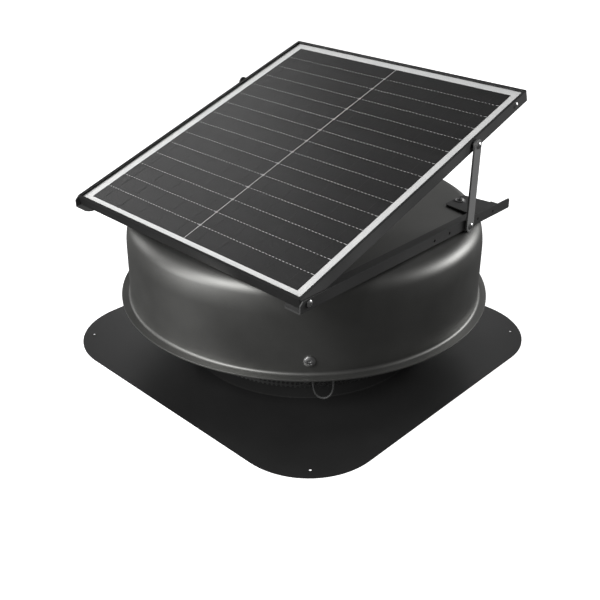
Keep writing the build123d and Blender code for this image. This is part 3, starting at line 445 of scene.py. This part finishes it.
def out_from_axis(azimuth, radius, z):
    """Point and outward direction on a round wall, from mm."""
    a = math.radians(azimuth)
    return Vector((radius * math.cos(a), radius * math.sin(a), z)) * MM, (math.cos(a), math.sin(a), 0)


SIDES = (-1, 1)
DIAGONALS = (-45.0, 45.0, 135.0, 225.0)         # degrees round the fan
HOOD_FACE_R, HOOD_SCREW_Z = 276.55, 123.0       # mm
HOOD_SCREW = (0.008, 0.0046, 0.003, 0.0107)     # head radius and height, shank radius and length
RAIL_BOLT_X, RAIL_BOLT_Y, RAIL_BOLT_Z = 0.1695, 0.175, 0.2387
RAIL_BOLT = (0.0052, 0.0032, 0.00295, 0.0132)
STRUT_PIN, SPARE_PIN = on_panel(0, 0.368, 0.0075), on_panel(0, 0.477, 0.007)
SIDE_BOLTS = (      # node, body, sides, x of the face, y, z, then as for the hood's screws
    ("pivot_bolts", "root", SIDES, 0.2426, 0.094, 0.2418, 0.005, 0.0032, 0.0025, 0.0116),
    ("hinge_bolts", "panel", SIDES, 0.2382, -0.243, 0.246, 0.0048, 0.003, 0.0025, 0.0099),
    ("spare_bolts", "panel", SIDES, 0.2349, *SPARE_PIN.yz, 0.0044, 0.0028, 0.002, 0.0016),
    ("strut_bolt_left", "strut_l", (-1,), 0.24245, *STRUT_PIN.yz, 0.005, 0.0032, 0.0025, 0.003),
    ("strut_bolt_right", "strut_r", (1,), 0.24245, *STRUT_PIN.yz, 0.005, 0.0032, 0.0025, 0.003),
)


def add_hood_screws():
    """Four screws round the hood's wall."""
    bm = bmesh.new()
    for azimuth in DIAGONALS:
        face, axis = out_from_axis(azimuth, HOOD_FACE_R, HOOD_SCREW_Z)
        add_screw(bm, face, axis, *HOOD_SCREW)
    add_piece("hood_screws_detailed", bm, "bright_fastener", "root", "hood_screws")


def add_rail_bolts():
    """Bolts down through the rails into the hood's crown."""
    bm = bmesh.new()
    for sx in SIDES:
        for sy in SIDES:
            face = (sx * RAIL_BOLT_X, sy * RAIL_BOLT_Y, RAIL_BOLT_Z)
            add_screw(bm, face, (0, 0, 1), *RAIL_BOLT)
    add_piece("rail_bolts_detailed", bm, "bright_fastener", "root", "rail_bolts")


def add_side_bolts(node, body, sides, x, y, z, *sizes):
    """Bolts through the left and right sides, or one of them, heads outwards."""
    bm = bmesh.new()
    for side in sides:
        add_screw(bm, (side * x, y, z), (side, 0, 0), *sizes)
    add_piece(f"{node}_detailed", bm, "bright_fastener", body, node)


add_hood_screws()
add_rail_bolts()
for side_bolts in SIDE_BOLTS:
    add_side_bolts(*side_bolts)

# ---- rain hood, turned with fine rings, sizes in mm ---------------------------------------------
SHEET = 1.2
HOOD_R, HOOD_TOP, CROWN_R = 276.5, 238.2, 6524.0
SIDE_R, SIDE_TURN, SHOULDER_R = 110.0, 14.0, 24.0
LIP_R, LIP_TOP, LIP_LOW, LIP_ROOT_R, HEM_W = 290.2, 102.0, 99.8, 5.0, 5.0
LIP_BREAK = 0.3             # broken outer edge of the lip
CROWN_STEPS, SHOULDER_STEPS, SIDE_STEPS, ROOT_STEPS, BREAK_STEPS = 12, 20, 8, 10, 3
HOOD_SEGMENTS = 240
ON_AXIS = 0.001


def arc(centre, radius, start, end, steps):
    """Points of an arc in the half section, in mm, angles in degrees."""
    angles = [math.radians(start + (end - start) * i / steps) for i in range(steps + 1)]
    return [(centre[0] + radius * math.cos(a), centre[1] + radius * math.sin(a)) for a in angles]


def hood_skin(inset):
    """Half section of the skin from the axis to the lip's root, moved in by inset."""
    turn = math.radians(SIDE_TURN)
    reach = SIDE_R - SHOULDER_R
    crown = (0.0, HOOD_TOP - CROWN_R)
    shoulder_x = HOOD_R - SIDE_R + reach * math.cos(turn)
    shoulder_z = crown[1] + math.sqrt((CROWN_R - SHOULDER_R) ** 2 - shoulder_x**2)
    side = (HOOD_R - SIDE_R, shoulder_z - reach * math.sin(turn))
    edge = 90.0 - math.degrees(math.asin(shoulder_x / (CROWN_R - SHOULDER_R)))
    root = (HOOD_R + LIP_ROOT_R, LIP_TOP + LIP_ROOT_R)
    return (
        arc(crown, CROWN_R - inset, 90.0, edge, CROWN_STEPS)
        + arc((shoulder_x, shoulder_z), SHOULDER_R - inset, edge, SIDE_TURN, SHOULDER_STEPS)[1:]
        + arc(side, SIDE_R - inset, SIDE_TURN, 0.0, SIDE_STEPS)[1:]
        + arc(root, LIP_ROOT_R + inset, 180.0, 270.0, ROOT_STEPS)
    )


def add_hood():
    """The hood's pressed shell, with its rolled lip and the hem folded under it."""
    edge = arc((LIP_R - LIP_BREAK, LIP_TOP - LIP_BREAK), LIP_BREAK, 90.0, 0.0, BREAK_STEPS)
    hem = [(LIP_R, LIP_LOW), (LIP_R - HEM_W, LIP_LOW), (LIP_R - HEM_W, LIP_TOP - SHEET)]
    profile = hood_skin(0.0) + edge + hem + hood_skin(SHEET)[::-1]
    bm = bmesh.new()
    rings = []
    for r, z in profile:
        if r < ON_AXIS:
            rings.append([bm.verts.new((0, 0, z * MM))] * HOOD_SEGMENTS)
            continue
        angles = (2 * math.pi * i / HOOD_SEGMENTS for i in range(HOOD_SEGMENTS))
        rings.append([bm.verts.new((r * math.cos(a) * MM, r * math.sin(a) * MM, z * MM)) for a in angles])
    for first, second in zip(rings, rings[1:]):
        for i in range(HOOD_SEGMENTS):
            j = (i + 1) % HOOD_SEGMENTS
            corners = dict.fromkeys((first[i], first[j], second[j], second[i]))
            bm.faces.new(tuple(corners))
    add_piece("hood_shell_turned", bm, "hood_paint", "root", "hood_shell")


add_hood()

# ---- perforated guard round the collar ----------------------------------------------------------
GUARD_IN, GUARD_OUT = 0.1862, 0.1870
GUARD_LOW, GUARD_HIGH = 0.0195, 0.1377
GUARD_COLUMNS = 168
GUARD_HEM = 0.004
HOLE_SHARE = 0.36           # a hole's radius over the pitch


def add_guard():
    """Perforated sheet rolled into a band. Its lower edge is cut through a row of holes."""
    bm = bmesh.new()
    pitch = 2 * math.pi * GUARD_IN / GUARD_COLUMNS
    rows = int((GUARD_HIGH - GUARD_HEM - GUARD_LOW) / pitch)
    height = (GUARD_HIGH - GUARD_HEM - GUARD_LOW) / rows
    cache = {}

    def vert(radius, u, z):
        """The one vertex at a radius, u columns round and height z, found again by its rounded place."""
        key = (radius, round((u % GUARD_COLUMNS) * 1000), round(z * 1e6))
        if key not in cache:
            a = 2 * math.pi * u / GUARD_COLUMNS
            cache[key] = bm.verts.new((radius * math.cos(a), radius * math.sin(a), z))
        return cache[key]

    def across(u0, z0, u1, z1):
        """Face across the sheet's thickness."""
        bm.faces.new((
            vert(GUARD_IN, u0, z0), vert(GUARD_IN, u1, z1),
            vert(GUARD_OUT, u1, z1), vert(GUARD_OUT, u0, z0),
        ))

    border = [
        (0.5, 0), (0.5, 0.5), (0, 0.5), (-0.5, 0.5),
        (-0.5, 0), (-0.5, -0.5), (0, -0.5), (0.5, -0.5),
    ]
    hole = [
        (HOLE_SHARE * math.cos(math.pi / 4 * i), HOLE_SHARE * math.sin(math.pi / 4 * i))
        for i in range(8)
    ]
    for row in range(rows):
        middle = GUARD_LOW + row * height
        steps = range(4) if row == 0 else range(8)      # the lowest row is half a hole
        for column in range(GUARD_COLUMNS):
            for radius in (GUARD_IN, GUARD_OUT):
                for i in steps:
                    corners = (border[i], border[(i + 1) % 8], hole[(i + 1) % 8], hole[i])
                    points = [vert(radius, column + du, middle + dz * height) for du, dz in corners]
                    bm.faces.new(points)
            for i in steps:
                edge = (hole[i], hole[(i + 1) % 8])
                (u0, z0), (u1, z1) = ((column + du, middle + dz * height) for du, dz in edge)
                across(u0, z0, u1, z1)
    top_of_holes = GUARD_LOW + (rows - 0.5) * height
    for column in range(GUARD_COLUMNS):
        for u0, u1 in ((column - 0.5, column), (column, column + 0.5)):
            for radius in (GUARD_IN, GUARD_OUT):
                bm.faces.new((
                    vert(radius, u0, top_of_holes), vert(radius, u1, top_of_holes),
                    vert(radius, u1, GUARD_HIGH), vert(radius, u0, GUARD_HIGH),
                ))
            across(u0, GUARD_HIGH, u1, GUARD_HIGH)
        for u0, u1 in ((column - 0.5, column - HOLE_SHARE), (column + HOLE_SHARE, column + 0.5)):
            across(u0, GUARD_LOW, u1, GUARD_LOW)
    add_piece("mesh_guard_perforated", bm, "mesh_paint", "root", "mesh_guard", smooth=False)


add_guard()

# ---- solar cells with their ribbons -------------------------------------------------------------
CELL_TOP = 0.00446          # depth of the cells' faces, just clear of the glass
CELL_T = 0.00024
RIBBONS_PER_CELL = 5
RIBBON_W, RIBBON_T = 0.0007, 0.00008
BRIDGE_STEP, BRIDGE_W, BRIDGE_START = 0.0062, 0.0029, 0.3     # the start is a share of the step
TAB_W, TAB_L = 0.0046, 0.0026


def add_slab(bm, x0, x1, s0, s1, top, thickness):
    """Thin rectangular plate on the panel."""
    lower, upper = (
        [bm.verts.new(on_panel(x, s, d)) for x, s in ((x0, s0), (x1, s0), (x1, s1), (x0, s1))]
        for d in (top + thickness, top)
    )
    bm.faces.new(upper)
    bm.faces.new(lower)
    for i in range(4):
        j = (i + 1) % 4
        bm.faces.new((lower[i], lower[j], upper[j], upper[i]))


def cell_span(column, row):
    """Edges of a cell: x from and to, s from and to."""
    x0 = -CELL_AREA_X / 2 + column * COL_PITCH
    s0 = CELL_AREA_S0 + row * ROW_PITCH
    return x0, x0 + COL_PITCH - COL_GAP, s0, s0 + ROW_PITCH - ROW_GAP


def add_cells():
    """Wafers in two columns, joined across each row's gap by dark bridges."""
    bm = bmesh.new()
    for column in range(CELL_COLS):
        for row in range(CELL_ROWS):
            x0, x1, s0, s1 = cell_span(column, row)
            add_slab(bm, x0, x1, s0, s1, CELL_TOP, CELL_T)
            if row == CELL_ROWS - 1:
                continue
            for i in range(int((x1 - x0) / BRIDGE_STEP)):
                left = x0 + (i + BRIDGE_START) * BRIDGE_STEP
                add_slab(bm, left, left + BRIDGE_W, s1, s1 + ROW_GAP, CELL_TOP, CELL_T)
    add_piece("solar_cells_detailed", bm, "cell", "panel", "solar_cells", smooth=False)


def add_ribbons():
    """Flat ribbons along the cells, dull under the glass."""
    bm = bmesh.new()
    top = CELL_TOP - RIBBON_T
    for column in range(CELL_COLS):
        x0, x1, _, _ = cell_span(column, 0)
        step = (x1 - x0) / RIBBONS_PER_CELL
        for i in range(RIBBONS_PER_CELL):
            x = x0 + (i + 0.5) * step
            add_slab(bm, x - RIBBON_W / 2, x + RIBBON_W / 2, CELL_AREA_S0, CELL_AREA_S1, top, RIBBON_T)
    add_piece("cell_ribbons", bm, "ribbon", "panel", smooth=False)


def add_tabs():
    """Bright solder tabs down the middle, one at each row's gap."""
    bm = bmesh.new()
    top = CELL_TOP - RIBBON_T
    for row in range(1, CELL_ROWS):
        s = CELL_AREA_S0 + row * ROW_PITCH - ROW_GAP / 2
        add_slab(bm, -TAB_W / 2, TAB_W / 2, s - TAB_L / 2, s + TAB_L / 2, top, RIBBON_T)
    add_piece("cell_tabs", bm, "solder", "panel", smooth=False)


add_cells()
add_ribbons()
add_tabs()

# ---- studio -------------------------------------------------------------------------------------
BACKDROP_R, BACKDROP_Z = 14.0, -0.0004
BACKDROP_SIDES, BACKDROP_TURN = 96, 15      # the turn is degrees from ring to ring up the bowl
BACKDROP_TOP_R = 0.01
LIGHT_AIM = Vector((0, 0, 0.18))
LIGHT_DISTANCE = 2.2
WORLD_STRENGTH = 0.085


def add_backdrop():
    """White floor and walls in one bowl. They are there for the camera and light nothing."""
    bm = bmesh.new()
    floor = bmesh.ops.create_circle(bm, cap_ends=True, radius=BACKDROP_R, segments=BACKDROP_SIDES)["verts"]
    edges = [edge for edge in bm.edges if all(vert in floor for vert in edge.verts)]
    for turn in range(BACKDROP_TURN, 91, BACKDROP_TURN):
        r, z = BACKDROP_R * math.cos(math.radians(turn)), BACKDROP_R * math.sin(math.radians(turn))
        made = bmesh.ops.extrude_edge_only(bm, edges=edges)["geom"]
        for vert in (item for item in made if isinstance(item, bmesh.types.BMVert)):
            spoke = Vector((vert.co.x, vert.co.y, 0)).normalized()
            vert.co = spoke * max(r, BACKDROP_TOP_R) + Vector((0, 0, z))
        edges = [item for item in made if isinstance(item, bmesh.types.BMEdge)]
    mesh = bpy.data.meshes.new("studio_backdrop")
    bm.to_mesh(mesh)
    bm.free()
    backdrop = bpy.data.objects.new("studio_backdrop", mesh)
    backdrop.location.z = BACKDROP_Z
    scene.collection.objects.link(backdrop)
    finish = Finish("studio_backdrop", 1.0, specular=0.0)
    finish.put("Base Color", shade(0.9))
    finish.put("Emission Color", shade(1.0))
    finish.put("Emission Strength", 1.0)
    finish.material.cycles.emission_sampling = "NONE"
    mesh.materials.append(finish.material)
    for unseen_by in ("diffuse", "glossy", "transmission", "shadow"):
        setattr(backdrop, f"visible_{unseen_by}", False)


def add_soft_box(name, azimuth, elevation, width, height, power):
    """Soft box facing the fan's middle."""
    a, e = math.radians(azimuth), math.radians(elevation)
    away = Vector((math.cos(a) * math.cos(e), math.sin(a) * math.cos(e), math.sin(e)))
    data = bpy.data.lights.new(name, "AREA")
    data.shape = "RECTANGLE"
    data.size, data.size_y = width, height
    data.energy = power
    light = bpy.data.objects.new(name, data)
    light.location = LIGHT_AIM + away * LIGHT_DISTANCE
    light.rotation_euler = away.to_track_quat("Z", "Y").to_euler()
    scene.collection.objects.link(light)
    return light


def link_to(light, pieces, state):
    """Make a light reach only the pieces (INCLUDE) or all but the pieces (EXCLUDE)."""
    receivers = bpy.data.collections.new(f"{light.name}_receivers")
    for piece in pieces:
        receivers.objects.link(bpy.data.objects[piece])
    for receiver in receivers.collection_objects:
        receiver.light_linking.link_state = state
    light.light_linking.receiver_collection = receivers


def add_world(strength):
    """Even white surroundings, seen in reflections and in the shade."""
    world = bpy.data.worlds.new("studio")
    world.use_nodes = True
    world.node_tree.nodes["Background"].inputs["Color"].default_value = (1, 1, 1, 1)
    world.node_tree.nodes["Background"].inputs["Strength"].default_value = strength
    scene.world = world


FLASHING = ("base_flashing",)
# Each soft box: name, azimuth and elevation in degrees, width and height in metres, power in watts.
BODY_BOXES = (      # for everything but the flashing
    ("middle_left_box", -94.0, 38.0, 0.9, 0.9, 30.0),
    ("low_left_box", -112.0, 10.0, 0.9, 0.9, 14.0),
    ("left_box", -162.0, 15.0, 0.9, 0.9, 6.0),
    ("low_right_box", 60.0, 20.0, 1.0, 0.7, 25.0),
    ("rear_right_box", 98.0, 14.0, 0.9, 0.9, 2.0),
)
REAR_BOX = ("rear_box", 133.0, 30.0, 1.6, 0.8, 1.7)      # for everything
PIECE_BOXES = (     # for the pieces named after each, then whether they reflect it
    (("flashing_fill", -68.0, 30.0, 1.6, 1.0, 44.0), FLASHING + ("controller_lead",), False),
    (("overhead_fill", 80.0, 82.0, 1.8, 1.8, 16.0), FLASHING, False),
    (("side_fill", 8.0, 12.0, 0.9, 0.9, 60.0), ("frame_right", "strut_right"), False),
    (("flashing_rear", 134.0, 20.0, 1.8, 0.8, 8.5), FLASHING, True),
    (("border_fill", -128.0, 50.0, 1.2, 1.2, 42.0), ("panel_backsheet",), False),
    (("panel_sheen", 171.0, 32.0, 1.4, 1.4, 6.5), ("panel_glass", "solar_cells_detailed"), True),
)


def add_lights():
    """All the soft boxes, in their three groups."""
    for box in BODY_BOXES:
        link_to(add_soft_box(*box), FLASHING, "EXCLUDE")
    add_soft_box(*REAR_BOX)
    for box, pieces, glossy in PIECE_BOXES:
        light = add_soft_box(*box)
        light.visible_glossy = glossy
        link_to(light, pieces, "INCLUDE")


add_backdrop()
add_world(WORLD_STRENGTH)
add_lights()
scene.view_settings.view_transform = "Standard"
